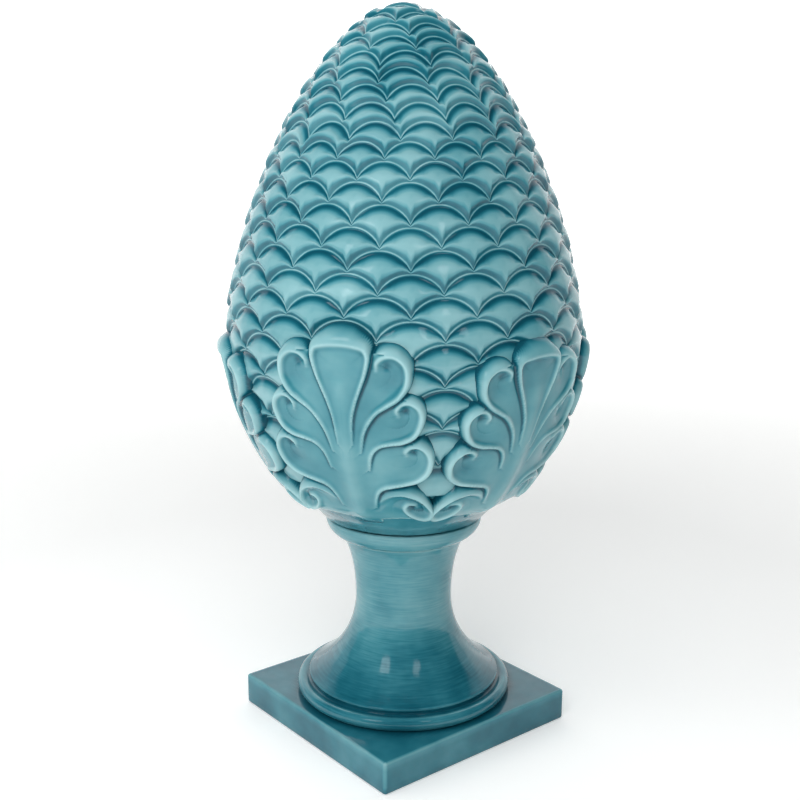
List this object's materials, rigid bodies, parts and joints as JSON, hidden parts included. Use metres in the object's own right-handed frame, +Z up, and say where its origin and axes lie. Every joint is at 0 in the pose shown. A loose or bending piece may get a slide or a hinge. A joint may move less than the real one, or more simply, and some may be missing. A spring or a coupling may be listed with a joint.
{
  "type": "pinecone finial",
  "caption": "Glazed ceramic pinecone with overlapping scales and acanthus leaves, on a waisted round foot and a square plinth that stands on a shelf or a post.",
  "frame": {"origin": "middle of the plinth's underside", "axes": "+Z up along the axis of the foot and the cone; the plinth's sides are square to X and Y; -Y is the front"},
  "size_m": [0.2514, 0.2584, 0.5],
  "materials": {
    "glaze": "gloss"
  },
  "bodies": {
    "root": {"pinecone_finial": "glaze"}
  },
  "joints": []
}
